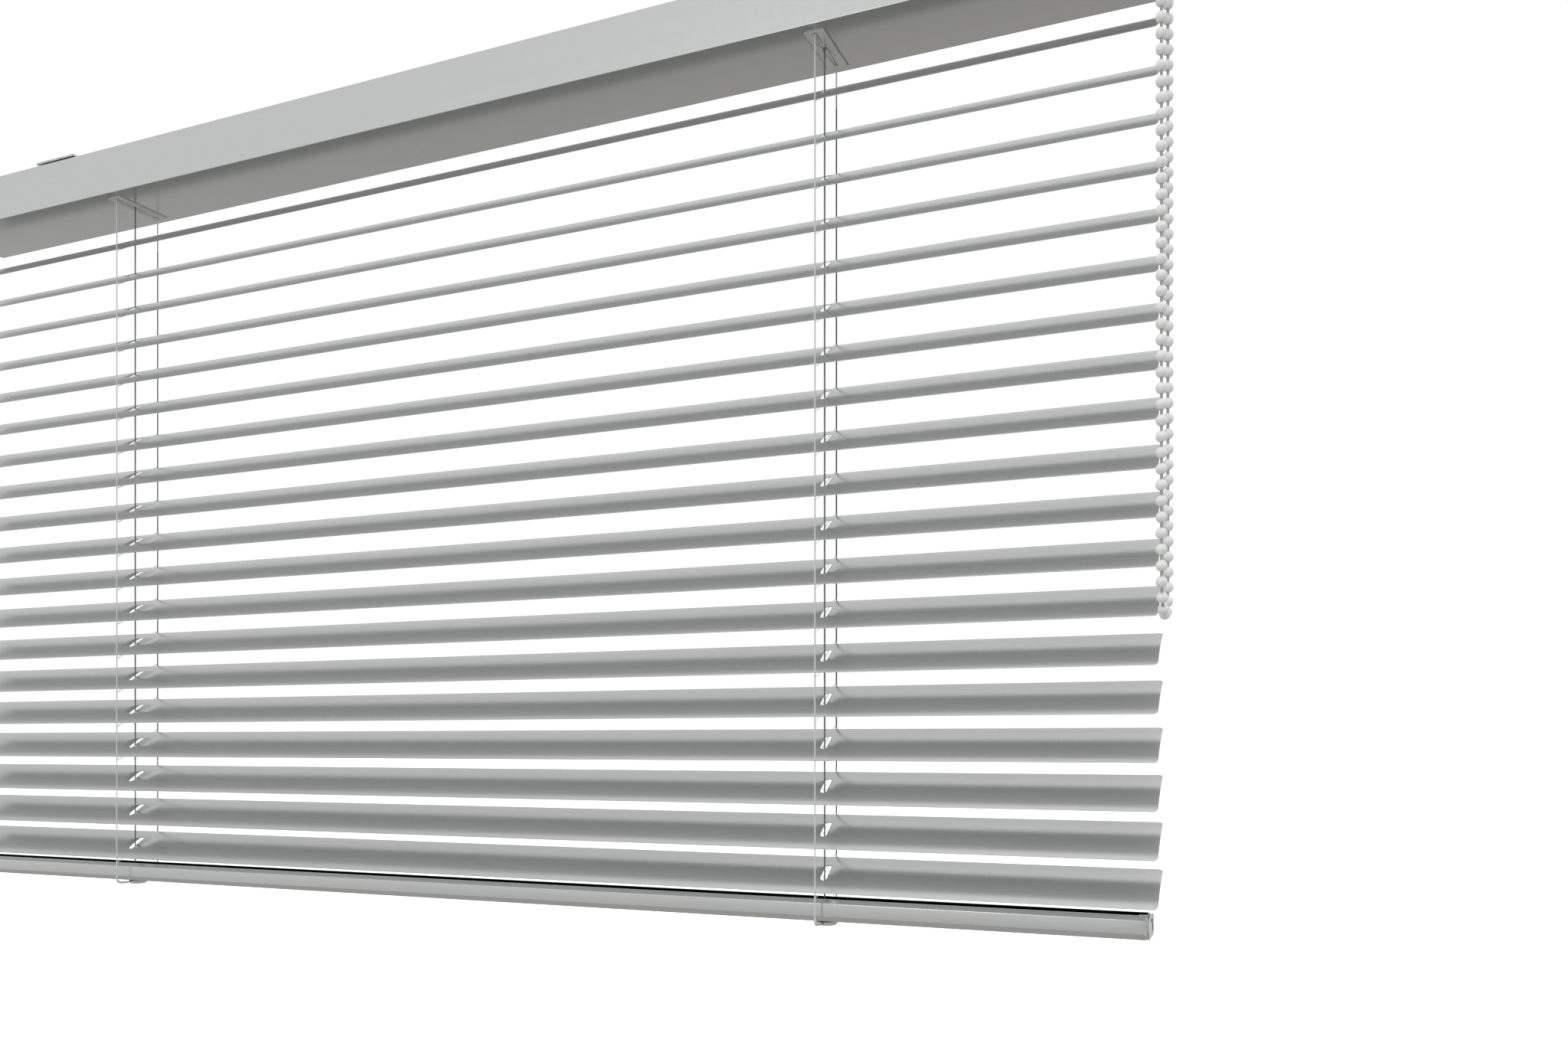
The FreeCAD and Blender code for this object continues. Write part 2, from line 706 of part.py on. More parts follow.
# ---------------------------------------------------------------- control unit
UNIT_LEFT = "dims.head_right"
UNIT_RIGHT = "(dims.head_right + dims.unit_width)"
WHEEL_AXIS = ("-dims.wheel_forward", "-dims.wheel_drop")
BOSSES = ((15.8, -7.5), (-29.2, -6.0))


def unit_block(low, high, inset):
    """The control unit's stepped block, shrunk by inset on every side but its ends."""
    main = box(
        (low, high),
        (f"-dims.unit_front + {inset}", f"dims.unit_back - {inset}"),
        (f"-dims.head_drop - dims.head_height + {inset}", f"-dims.head_drop - {inset}"),
    )
    lower = box(
        (low, high),
        (f"-dims.unit_front + {inset}", f"dims.unit_step - {inset}"),
        (f"-dims.unit_floor + {inset}", "-dims.head_drop - dims.head_height + 3"),
    )
    return fuse(main, lower)


def strand_depth(side):
    """The depth of a chain strand, tangent to the chain wheel's pitch circle."""
    pitch_radius = "dims.bead_pitch / 2 / sin(180 deg / dims.pocket_count)"
    return f"(-dims.wheel_forward + {side} * {pitch_radius})"


def control_housing():
    shell = unit_block(UNIT_LEFT, UNIT_RIGHT, 0)
    hollow = unit_block(f"{UNIT_LEFT} + dims.unit_wall", f"{UNIT_RIGHT} + 1", "dims.unit_wall")
    openings = [hollow]
    for side in (-1, 1):
        y = strand_depth(side)
        depth = (f"{y} - 2.7", f"{y} + 2.7")
        span = ("dims.chain_plane - 2.8", "dims.chain_plane + 2.8")
        low = "-dims.unit_floor - 1"
        openings.append(box(span, depth, (low, "-dims.unit_floor + dims.unit_wall + 0.5")))
    journal = "dims.journal_radius + 0.1"
    openings.append(rod((f"{UNIT_LEFT} - 8", f"{UNIT_LEFT} + 2"), *SHAFT_AXIS, journal))
    walls = cut(shell, *openings)
    axle = rod((f"{UNIT_LEFT} + 1", f"{UNIT_RIGHT} - 0.2"), *WHEEL_AXIS, "2")
    posts = []
    bores = []
    for y, z in BOSSES:
        posts.append(rod((f"{UNIT_LEFT} + 1", UNIT_RIGHT), y, z, "2.2"))
        bores.append(rod((f"{UNIT_LEFT} + 4", f"{UNIT_RIGHT} + 1"), y, z, "1"))
    spigot = head_plug(f"{UNIT_LEFT} - 5", f"{UNIT_LEFT} + 0.5")
    return cut(fuse(walls, axle, spigot, *posts), *bores)


def control_cover():
    plate = unit_block(UNIT_RIGHT, f"{UNIT_RIGHT} + dims.cover_thick", 0)
    ring = rod((f"{UNIT_RIGHT} - 2.3", f"{UNIT_RIGHT} + 0.5"), *WHEEL_AXIS, "3.6")
    socket = rod((f"{UNIT_RIGHT} - 3", f"{UNIT_RIGHT} + 0.2"), *WHEEL_AXIS, "2.1")
    holes = [rod((f"{UNIT_RIGHT} - 1", f"{UNIT_RIGHT} + 3"), y, z, "1.1") for y, z in BOSSES]
    return cut(fuse(plate, ring), socket, *holes)


def cover_screw(y, z):
    outer = f"{UNIT_RIGHT} + dims.cover_thick"
    shank = rod((f"{UNIT_RIGHT} - 7", f"{outer} + 0.4"), y, z, "0.95")
    head = rod((outer, f"{outer} + 1"), y, z, "1.9")
    slot = box((f"{outer} + 0.5", f"{outer} + 2"), (f"{y} - 3", f"{y} + 3"),
               (f"{z} - 0.25", f"{z} + 0.25"))
    return cut(fuse(shank, head), slot)


node("control_housing", control_housing())
node("control_cover", control_cover())
node("cover_screws", fuse(*[cover_screw(y, z) for y, z in BOSSES]))


# ---------------------------------------------------------------- gears and chain wheel
WHEEL_CENTRE = Vector(0, -size("wheel_forward"), -size("wheel_drop"))
SHAFT_CENTRE = Vector(0, 0, SHAFT_Z)
GEAR_LEFT = size("head_right") + 1.8
GEAR_WIDTH = 1.8
BORE_LEFT = size("head_right") - 11
BORE_LENGTH = 30
WHEEL_RADIUS = 13.4
WHEEL_WIDTH = 6.2
HUB_LEFT = size("head_right") + size("unit_wall") + 0.4
HUB_RIGHT = size("head_right") + size("unit_width") - 2.8
PRESSURE = math.radians(20)
BACKLASH = 0.16


def involute(angle):
    return math.tan(angle) - angle


def gear_outline(teeth, towards):
    """A gear's flat outline in the YZ plane, with a tooth's middle at the angle towards."""
    module = size("gear_module")
    pitch = module * teeth / 2
    tip = pitch + 0.9 * module
    root = pitch - 1.2 * module
    base = pitch * math.cos(PRESSURE)
    half_tooth = math.pi / 2 / teeth - BACKLASH / 2 / pitch + involute(PRESSURE)
    start = max(base, root)
    radii = [start + (tip - start) * step / 4 for step in range(5)]
    flank = [(r, half_tooth - involute(math.acos(min(1, base / r)))) for r in radii]
    outline = []
    for tooth in range(teeth):
        middle = towards + 2 * math.pi * tooth / teeth
        rising = [(root, -flank[0][1])] + [(r, -a) for r, a in flank]
        falling = [(r, a) for r, a in reversed(flank)] + [(root, flank[0][1])]
        for r, a in rising + falling:
            outline.append(Vector(0, r * math.cos(middle + a), r * math.sin(middle + a)))
    return Part.makePolygon(outline + outline[:1])


def gear_disc(teeth, towards, centre):
    disc = Part.Face(gear_outline(teeth, towards)).extrude(Vector(GEAR_WIDTH, 0, 0))
    disc.translate(centre + Vector(GEAR_LEFT, 0, 0))
    return disc


def chain_wheel():
    """The bead wheel: a disc with a pocket for each bead, its gear, a hub and a bore."""
    plane = size("chain_plane")
    count = int(size("pocket_count"))
    pitch_radius = size("bead_pitch") / 2 / math.sin(math.pi / count)
    along = Vector(1, 0, 0)
    place = WHEEL_CENTRE + Vector(plane - WHEEL_WIDTH / 2, 0, 0)
    wheel = Part.makeCylinder(WHEEL_RADIUS, WHEEL_WIDTH, place, along)
    groove = Part.makeTorus(pitch_radius, 0.9, WHEEL_CENTRE + Vector(plane, 0, 0), along)
    wheel = wheel.cut(groove)
    for pocket in range(count):
        turn = 2 * math.pi * (pocket + 0.5) / count
        offset = Vector(plane, pitch_radius * math.cos(turn), pitch_radius * math.sin(turn))
        wheel = wheel.cut(Part.makeSphere(size("bead_diameter") / 2 + 0.15, WHEEL_CENTRE + offset))
    hub_place = WHEEL_CENTRE + Vector(HUB_LEFT, 0, 0)
    hub = Part.makeCylinder(5, HUB_RIGHT - HUB_LEFT, hub_place, along)
    line = SHAFT_CENTRE - WHEEL_CENTRE
    towards = math.atan2(line.z, line.y)
    gear = gear_disc(int(size("wheel_teeth")), towards, WHEEL_CENTRE)
    bore_radius = 2 + size("running_gap")
    bore_place = WHEEL_CENTRE + Vector(BORE_LEFT, 0, 0)
    bore = Part.makeCylinder(bore_radius, BORE_LENGTH, bore_place, along)
    return wheel.fuse([hub, gear]).cut(bore)


def shaft_gear():
    """The shaft's gear, with a gap where the chain wheel's tooth points."""
    teeth = int(size("shaft_teeth"))
    line = WHEEL_CENTRE - SHAFT_CENTRE
    towards = math.atan2(line.z, line.y) + math.pi / teeth
    disc = gear_disc(teeth, towards, SHAFT_CENTRE)
    bore_radius = size("journal_radius") + size("running_gap")
    place = SHAFT_CENTRE + Vector(BORE_LEFT, 0, 0)
    bore = Part.makeCylinder(bore_radius, BORE_LENGTH, place, Vector(1, 0, 0))
    return disc.cut(bore)


node("chain_wheel", feature(chain_wheel()))
node("shaft_gear", feature(shaft_gear()))


# ---------------------------------------------------------------- control chain
def control_chain():
    """The hanging loop of the endless bead chain, as one round tube of the beads' size."""
    x = size("chain_plane")
    exit_z = -size("unit_floor")
    bottom = -size("chain_bottom")
    reach = size("bead_pitch") / 2 / math.sin(math.pi / size("pocket_count"))
    front = -size("wheel_forward") - reach
    rear = -size("wheel_forward") + reach
    corner = 2 * reach / (2 + math.sqrt(2))
    route = [
        Vector(x, front, exit_z),
        Vector(x, front, bottom + corner),
        Vector(x, front + corner, bottom),
        Vector(x, rear - corner, bottom),
        Vector(x, rear, bottom + corner),
        Vector(x, rear, exit_z),
    ]
    bends = [0.9 * reach] * 4
    print("control chain bend radii", bends)
    return bent_tube(route, size("bead_diameter") / 2, bends)


chain_shape, chain_length = control_chain()
print("control chain length", round(chain_length, 1))
node("control_chain", feature(chain_shape))

# ---------------------------------------------------------------- checks and export
doc.recompute()
for thing in doc.Objects:
    if any(state in ("Invalid", "Error") for state in thing.State):
        raise ValueError(f"{thing.Name} failed")
for name, thing in nodes.items():
    shape = thing.Shape
    if shape.isNull() or not shape.isValid() or not shape.Solids:
        raise ValueError(f"{name} has no valid solid")
for name, thing in nodes.items():
    thing.Shape.exportStep(f"parts/{name}.step")
print(len(nodes), "sub-parts written")
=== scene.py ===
import math

import bpy
import numpy as np
from mathutils import Matrix, Vector


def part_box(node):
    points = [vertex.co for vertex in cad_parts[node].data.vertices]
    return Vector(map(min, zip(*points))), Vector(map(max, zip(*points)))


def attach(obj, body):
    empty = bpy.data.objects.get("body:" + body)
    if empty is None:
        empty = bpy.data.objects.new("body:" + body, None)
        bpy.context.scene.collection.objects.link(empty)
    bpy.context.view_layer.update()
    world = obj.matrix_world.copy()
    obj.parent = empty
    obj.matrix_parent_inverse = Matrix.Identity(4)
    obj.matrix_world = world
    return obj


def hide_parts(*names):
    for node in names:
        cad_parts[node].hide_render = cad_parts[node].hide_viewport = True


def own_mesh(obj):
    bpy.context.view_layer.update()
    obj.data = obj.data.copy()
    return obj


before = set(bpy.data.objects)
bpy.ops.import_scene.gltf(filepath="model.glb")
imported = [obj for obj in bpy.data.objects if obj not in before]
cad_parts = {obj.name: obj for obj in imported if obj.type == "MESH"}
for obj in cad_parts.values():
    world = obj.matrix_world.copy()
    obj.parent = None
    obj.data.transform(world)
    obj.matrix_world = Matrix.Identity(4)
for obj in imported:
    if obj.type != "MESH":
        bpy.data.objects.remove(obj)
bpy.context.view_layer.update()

# ---------------------------------------------------------------- sizes, in metres
MM = 0.001
ROOT = "headrail_unit"
RAIL_BODY = "bottom_rail_unit"
SLAT_COUNT = 19
SLAT_PITCH = 19 * MM
SLAT_HALF_LENGTH = 350 * MM
SLAT_HALF_WIDTH = 12.5 * MM
SLAT_THICK = 0.22 * MM
CROWN_RADIUS = 48 * MM
SLAT_CORNER = 2 * MM
SLAT_TILT = math.radians(33.6)
TOP_SLAT_Z = -47 * MM
LOW_SLAT_Z = TOP_SLAT_Z - (SLAT_COUNT - 1) * SLAT_PITCH
SLOT_HALF_LENGTH = 5 * MM
SLOT_HALF_WIDTH = 1.6 * MM
SLOT_SHIFT = 0.6 * MM
SLOT_Y = -0.4 * MM
LADDER_X = 209 * MM
STRING_Y = 13.35 * MM
STRING_RADIUS = 0.37 * MM
CORD_RADIUS = 0.4 * MM
CORD_Y = -1.5 * MM
RAIL_LOW, RAIL_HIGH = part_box("bottom_rail")
RAIL_TOP = RAIL_HIGH.z
RAIL_FLOOR = RAIL_LOW.z
RAIL_END = RAIL_HIGH.x
PLUG_SHIFT = 0.6 * MM
CAP_THICK = 1.7 * MM
SHAFT_Z = -14.5 * MM
SIDES = (("left", -1), ("right", 1))


# ---------------------------------------------------------------- materials
# the mix node's sockets for colours, which share their names with its sockets for numbers
MIX_COLOUR_A, MIX_COLOUR_B, MIX_COLOUR_RESULT = 6, 7, 2


def links_of(material):
    """A material's nodes and links."""
    tree = material.node_tree
    return tree.nodes, tree.links


def add_node(nodes, kind, **values):
    """A shader node with its properties, and its inputs given by name."""
    node = nodes.new(kind)
    for key, value in values.items():
        if hasattr(node, key):
            setattr(node, key, value)
        else:
            node.inputs[key.replace("_", " ")].default_value = value
    return node


def scaled_place(nodes, links, place, scale):
    """The place on the object, stretched by a scale along each axis."""
    mapping = add_node(nodes, "ShaderNodeMapping")
    mapping.inputs["Scale"].default_value = scale
    links.new(place.outputs["Object"], mapping.inputs["Vector"])
    return mapping.outputs["Vector"]


def coat(name, light, dark, grain, rough, bump, rough_grain=300, streaks=None, **sockets):
    """A principled material whose tone, roughness and relief vary with the place on the object.

    rough is the lowest and highest roughness, bump is the relief's grain, depth and strength,
    and streaks is the scale of long marks along the part.
    """
    material = bpy.data.materials.new(name)
    material.use_nodes = True
    nodes, links = links_of(material)
    shader = nodes["Principled BSDF"]
    for socket, value in sockets.items():
        shader.inputs[socket.replace("_", " ")].default_value = value
    place = add_node(nodes, "ShaderNodeTexCoord")

    def noise(scale, detail, where=place.outputs["Object"]):
        made = add_node(nodes, "ShaderNodeTexNoise", Scale=scale, Detail=detail)
        links.new(where, made.inputs["Vector"])
        return made.outputs["Fac"]

    def ranged(source, low, high):
        """The middle of a noise's values, spread from low to high."""
        made = add_node(nodes, "ShaderNodeMapRange")
        limits = (("From Min", 0.3), ("From Max", 0.7), ("To Min", low), ("To Max", high))
        for socket, value in limits:
            made.inputs[socket].default_value = value
        links.new(source, made.inputs["Value"])
        return made.outputs["Result"]

    tone = add_node(nodes, "ShaderNodeMix", data_type="RGBA")
    tone.inputs[MIX_COLOUR_A].default_value = (*dark, 1)
    tone.inputs[MIX_COLOUR_B].default_value = (*light, 1)
    source = ranged(noise(grain, 5), 0, 1)
    if streaks:
        marks = noise(1.0, 3, scaled_place(nodes, links, place, streaks))
        both = add_node(nodes, "ShaderNodeMath", operation="ADD", use_clamp=True)
        halve = add_node(nodes, "ShaderNodeMath", operation="MULTIPLY")
        halve.inputs[1].default_value = 0.5
        links.new(source, halve.inputs[0])
        links.new(halve.outputs[0], both.inputs[0])
        links.new(ranged(marks, 0, 0.5), both.inputs[1])
        source = both.outputs[0]
    links.new(source, tone.inputs["Factor"])
    links.new(tone.outputs[MIX_COLOUR_RESULT], shader.inputs["Base Color"])
    links.new(ranged(noise(rough_grain, 4), *rough), shader.inputs["Roughness"])
    if bump:
        bump_grain, depth, strength = bump
        relief = add_node(nodes, "ShaderNodeBump", Strength=strength, Distance=depth)
        links.new(noise(bump_grain, 3), relief.inputs["Height"])
        links.new(relief.outputs["Normal"], shader.inputs["Normal"])
    return material


def cord_coat(name, light, dark, bands, rough, **sockets):
    """A material for thread: light and dark fibre, and a relief of fine diagonal bands."""
    material = coat(name, light, dark, 6000, (rough - 0.06, rough + 0.06), None, **sockets)
    nodes, links = links_of(material)
    shader = nodes["Principled BSDF"]
    place = next(n for n in nodes if n.type == "TEX_COORD")
    wave = add_node(
        nodes, "ShaderNodeTexWave", bands_direction="DIAGONAL", Scale=1.0, Distortion=1.2
    )
    links.new(scaled_place(nodes, links, place, bands), wave.inputs["Vector"])
    relief = add_node(nodes, "ShaderNodeBump", Strength=0.6, Distance=0.05 * MM)
    links.new(wave.outputs["Fac"], relief.inputs["Height"])
    links.new(relief.outputs["Normal"], shader.inputs["Normal"])
    return material


SLAT_COAT = coat(
    "slat_coat",
    (0.53, 0.548, 0.541),
    (0.50, 0.518, 0.511),
    1900,
    (0.23, 0.27),
    (1100, 0.012 * MM, 0.35),
    streaks=(3, 180, 180),
    Metallic=0.72,
    Specular_IOR_Level=0.5,
)
RAIL_COAT = coat(
    "rail_coat",
    (0.62, 0.635, 0.625),
    (0.585, 0.60, 0.592),
    1500,
    (0.19, 0.23),
    None,
    streaks=(2, 150, 150),
    Metallic=0.7,
)
# Near-black painted shade, put on the rail's inside and in the plug's groove where shadow falls.
PAINTED_SHADE_BLACK = coat(
    "rail_inside_painted_shade",
    (0.010, 0.010, 0.011),
    (0.006, 0.006, 0.007),
    700,
    (0.75, 0.9),
    (1200, 0.02 * MM, 0.5),
    Specular_IOR_Level=0.1,
)
GREY_PLASTIC = coat(
    "grey_plastic",
    (0.68, 0.695, 0.687),
    (0.64, 0.655, 0.648),
    600,
    (0.38, 0.48),
    (2200, 0.015 * MM, 0.6),
    Coat_Weight=0.08,
)
BEAD_PLASTIC = coat(
    "bead_plastic",
    (0.90, 0.905, 0.90),
    (0.86, 0.865, 0.86),
    500,
    (0.24, 0.34),
    (900, 0.01 * MM, 0.4),
    Subsurface_Weight=0.15,
    Subsurface_Scale=0.002,
    Coat_Weight=0.25,
)
MECHANISM = coat(
    "mechanism_plastic",
    (0.74, 0.74, 0.71),
    (0.68, 0.68, 0.65),
    400,
    (0.42, 0.55),
    (1500, 0.02 * MM, 0.6),
    Subsurface_Weight=0.05,
    Subsurface_Scale=0.002,
)
ZINC = coat(
    "zinc_steel",
    (0.66, 0.68, 0.70),
    (0.50, 0.52, 0.55),
    160,
    (0.26, 0.44),
    (800, 0.01 * MM, 0.4),
    rough_grain=220,
    Metallic=1.0,
)
STRING_COAT = cord_coat(
    "ladder_string", (0.82, 0.84, 0.83), (0.62, 0.64, 0.63), (1500, 1500, 1900), 0.75
)
# A darker copy of the ladder string's material: painted shade for the rear strings, which lie in
# the slats' shadow.
REAR_STRING_PAINTED_SHADE = cord_coat(
    "rear_ladder_string_painted_shade", (0.22, 0.23, 0.225), (0.10, 0.105, 0.103), (1500, 1500, 1900), 0.75
)
RUNG_COAT = cord_coat(
    "rung_thread", (0.82, 0.83, 0.82), (0.66, 0.67, 0.66), (2600, 2600, 2600), 0.75
)
LIFT_COAT = cord_coat(
    "lift_cord", (0.26, 0.275, 0.27), (0.10, 0.105, 0.103), (1500, 1500, 1900), 0.7
)
CHAIN_CORD_COAT = cord_coat(
    "chain_cord", (0.52, 0.53, 0.53), (0.30, 0.31, 0.31), (900, 900, 1400), 0.7
)


# ---------------------------------------------------------------- making pieces
def piece(name, points, faces, *materials, indices=None, flat=False):
    """A mesh object from points and faces, in the row frame."""
    mesh = bpy.data.meshes.new(name)
    mesh.from_pydata([tuple(p) for p in points], [], [tuple(f) for f in faces])
    mesh.validate()
    for material in materials:
        mesh.materials.append(material)
    if indices is not None:
        mesh.polygons.foreach_set("material_index", indices)
    mesh.polygons.foreach_set("use_smooth", [not flat] * len(mesh.polygons))
    mesh.update()
    made = bpy.data.objects.new(name, mesh)
    bpy.context.scene.collection.objects.link(made)
    return made


def fit(made, body, slot, *nodes):
    """Put a finished piece on its body and hide the CAD nodes it stands for; the slot argument is
    not used.
    """
    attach(made, body)
    if nodes:
        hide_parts(*nodes)
    return made


def soften(made, width, segments=3, angle=30):
    """Round a piece's edges."""
    bevel = made.modifiers.new("bevel", "BEVEL")
    bevel.width = width
    bevel.segments = segments
    bevel.limit_method = "ANGLE"
    bevel.angle_limit = math.radians(angle)
    bevel.harden_normals = True
    return made


def route_curve(name, points):
    """A smooth open curve with the route's points as its control points."""
    data = bpy.data.curves.new(name, "CURVE")
    data.dimensions = "3D"
    data.resolution_u = 24
    spline = data.splines.new("NURBS")
    spline.points.add(len(points) - 1)
    for knot, point in zip(spline.points, points):
        knot.co = (*point, 1)
    spline.order_u = 3
    spline.use_endpoint_u = True
    made = bpy.data.objects.new(name, data)
    bpy.context.scene.collection.objects.link(made)
    return made


def read_route(points, step):
    """Evenly spaced points along the smooth curve through a route."""
    curve = route_curve("reader", points)
    bpy.context.view_layer.update()
    graph = bpy.context.evaluated_depsgraph_get()
    mesh = bpy.data.meshes.new_from_object(curve.evaluated_get(graph))
    line = np.array([v.co for v in mesh.vertices], float).reshape(-1, 3)
    bpy.data.meshes.remove(mesh)
    data = curve.data
    bpy.data.objects.remove(curve)
    bpy.data.curves.remove(data)
    return resample(line, step)


def resample(line, step):
    """The same line with its points about a step apart."""
    gaps = np.linalg.norm(np.diff(line, axis=0), axis=1)
    run = np.concatenate([[0], np.cumsum(gaps)])
    count = max(2, int(round(run[-1] / step)) + 1)
    wanted = np.linspace(0, run[-1], count)
    return np.stack([np.interp(wanted, run, line[:, axis]) for axis in range(3)], 1)


def frames_along(line):
    """A tangent, and two steady crosswise directions, at each point of a line."""
    tangents = np.gradient(line, axis=0)
    tangents /= np.linalg.norm(tangents, axis=1)[:, None]
    first = Vector(tangents[0])
    across = first.cross(Vector((1, 0.2, 0.1))).normalized()
    sides = [np.array(across)]
    for tangent in tangents[1:]:
        side = sides[-1] - tangent * (sides[-1] @ tangent)
        sides.append(side / np.linalg.norm(side))
    sides = np.array(sides)
    return tangents, sides, np.cross(tangents, sides)


def twisted(lobes, pitch, depth):
    """A laid rope's section: lobes that turn with the distance along it."""

    def radius(angle, distance):
        return 1 - depth + depth * np.cos(lobes * (angle - 2 * math.pi * distance / pitch))

    return radius


def braided(lobes, pitch, depth):
    """A braid's section: strands that cross both ways round."""

    def radius(angle, distance):
        turn = 2 * math.pi * distance / pitch
        crossing = np.cos(lobes * (angle - turn)) * np.cos(lobes * (angle + turn))
        return 1 - depth + depth * crossing

    return radius


def tube(line, radius, section, sides=10):
    """Points and faces of a tube along a line, its radius a share that section gives."""
    _, first, second = frames_along(line)
    run = np.concatenate([[0], np.cumsum(np.linalg.norm(np.diff(line, axis=0), axis=1))])
    angles = np.linspace(0, 2 * math.pi, sides, endpoint=False)
    share = section(angles[None, :], run[:, None]) * radius
    ring = (
        first[:, None, :] * np.cos(angles)[None, :, None]
        + second[:, None, :] * np.sin(angles)[None, :, None]
    )
    points = (line[:, None, :] + ring * share[:, :, None]).reshape(-1, 3)
    faces = []
    for row in range(len(line) - 1):
        low, high = row * sides, (row + 1) * sides
        for side in range(sides):
            after = (side + 1) % sides
            faces.append((low + side, low + after, high + after, high + side))
    faces.append(tuple(range(sides - 1, -1, -1)))
    faces.append(tuple(range(len(points) - sides, len(points))))
    return points, faces


def lathe(profile, centre, axis, turns=24):
    """Points and faces of a turned shape: profile is (distance along axis, radius)."""
    axis = Vector(axis).normalized()
    side = axis.orthogonal().normalized()
    other = axis.cross(side)
    points, faces = [], []
    for along, radius in profile:
        for turn in range(turns):
            angle = 2 * math.pi * turn / turns
            offset = side * math.cos(angle) + other * math.sin(angle)
            points.append(Vector(centre) + axis * along + offset * radius)
    for row in range(len(profile) - 1):
        low, high = row * turns, (row + 1) * turns
        for turn in range(turns):
            after = (turn + 1) % turns
            faces.append((low + turn, low + after, high + after, high + turn))
    faces.append(tuple(range(turns - 1, -1, -1)))
    faces.append(tuple(range(len(points) - turns, len(points))))
    return points, faces


def gather(parts):
    """Several (points, faces) as one."""
    points, faces = [], []
    for some, more in parts:
        start = len(points)
        points.extend(tuple(p) for p in some)
        faces.extend(tuple(index + start for index in face) for face in more)
    return points, faces


# ---------------------------------------------------------------- camera, floor and light
def camera():
    """A level camera beside the blind's right half, with its picture shifted up."""
    data = bpy.data.cameras.new("camera")
    data.sensor_width = 36
    data.lens = 28.227
    data.shift_y = 0.14014
    data.clip_start = 0.01
    data.clip_end = 200
    made = bpy.data.objects.new("camera", data)
    made.location = (0.39881, -0.50467, -0.33109)
    made.rotation_euler = (math.pi / 2, 0, math.radians(22.563))
    bpy.context.scene.collection.objects.link(made)
    bpy.context.scene.camera = made


def seen_only(made):
    """A backdrop that is looked at but neither lights nor shades the object."""
    made.visible_diffuse = False
    made.visible_glossy = False
    made.visible_transmission = False
    made.visible_shadow = False


def floor():
    """A plain pale floor far below the blind, in a white room."""
    size, low, high = 60, -1.3, 60
    material = coat(
        "pale_floor",
        (0.86, 0.86, 0.86),
        (0.84, 0.84, 0.84),
        3,
        (0.8, 0.9),
        (40, 0.2 * MM, 0.3),
        Emission_Color=(1, 1, 1, 1),
        Emission_Strength=0.6,
        Specular_IOR_Level=0.1,
    )
    ground = [(-size, -size, low), (size, -size, low), (size, size, low), (-size, size, low)]
    seen_only(piece("floor", ground, [(0, 1, 2, 3)], material, flat=True))
    paper = bpy.data.materials.new("white_room")
    paper.use_nodes = True
    shader = paper.node_tree.nodes["Principled BSDF"]
    shader.inputs["Base Color"].default_value = (0, 0, 0, 1)
    shader.inputs["Specular IOR Level"].default_value = 0
    shader.inputs["Emission Color"].default_value = (1, 1, 1, 1)
    shader.inputs["Emission Strength"].default_value = 1.02
    room = ground + [(x, y, high) for x, y, _ in ground]
    walls = [(0, 1, 5, 4), (1, 2, 6, 5), (2, 3, 7, 6), (3, 0, 4, 7), (4, 5, 6, 7)]
    seen_only(piece("room", room, walls, paper, flat=True))


def area_light(name, place, target, size, power):
    """A round light that faces its target."""
    data = bpy.data.lights.new(name, "AREA")
    data.shape = "DISK"
    data.size = size
    data.energy = power
    made = bpy.data.objects.new(name, data)
    made.location = place
    made.rotation_euler = (Vector(target) - Vector(place)).to_track_quat("-Z", "Y").to_euler()
    bpy.context.scene.collection.objects.link(made)


def light():
    """A soft studio: light from all round above the horizon, much less from below, and a key."""
    world = bpy.data.worlds.new("studio")
    bpy.context.scene.world = world
    world.use_nodes = True
    nodes, links = world.node_tree.nodes, world.node_tree.links
    background = nodes["Background"]
    place = add_node(nodes, "ShaderNodeTexCoord")
    parts = add_node(nodes, "ShaderNodeSeparateXYZ")
    links.new(place.outputs["Generated"], parts.inputs["Vector"])
    fade = add_node(nodes, "ShaderNodeValToRGB")
    fade.color_ramp.interpolation = "EASE"
    stops = fade.color_ramp.elements
    stops[0].position, stops[0].color = 0.22, (0.40, 0.385, 0.37, 1)
    stops[1].position, stops[1].color = 0.56, (0.80, 0.81, 0.81, 1)
    stops.new(0.86).color = (0.90, 0.90, 0.90, 1)
    stops.new(1.0).color = (1.3, 1.3, 1.3, 1)
    shift = add_node(nodes, "ShaderNodeMapRange")
    for socket, value in (("From Min", -1), ("From Max", 1), ("To Min", 0), ("To Max", 1)):
        shift.inputs[socket].default_value = value
    links.new(parts.outputs["Z"], shift.inputs["Value"])
    links.new(shift.outputs["Result"], fade.inputs["Fac"])
    links.new(fade.outputs["Color"], background.inputs["Color"])
    area_light("key", (-0.35, -1.9, 0.45), (0.05, 0, -0.3), 0.5, 5)
    bpy.context.scene.view_settings.view_transform = "Standard"


# ---------------------------------------------------------------- slats
def crown_height(y):
    """The height of the slat's middle surface above its chord."""
    return math.sqrt(CROWN_RADIUS**2 - y**2) - math.sqrt(CROWN_RADIUS**2 - SLAT_HALF_WIDTH**2)


def slat_columns():
    """Places along the slat: even ones, close ones round each slot and each corner."""
    columns = set()
    for _, side in SIDES:
        for turn in range(9):
            shift = SLOT_HALF_WIDTH * math.sin(math.radians(-90 + 22.5 * turn))
            columns.add(round(side * LADDER_X + SLOT_SHIFT + shift, 8))
        for turn in range(7):
            shift = SLAT_CORNER * math.sin(math.radians(15 * turn))
            columns.add(round(side * (SLAT_HALF_LENGTH - SLAT_CORNER + shift), 8))
    for count in range(-28, 29):
        place = count * 12 * MM
        if all(abs(place - other) > 3 * MM for other in columns):
            columns.add(round(place, 8))
    return sorted(columns)


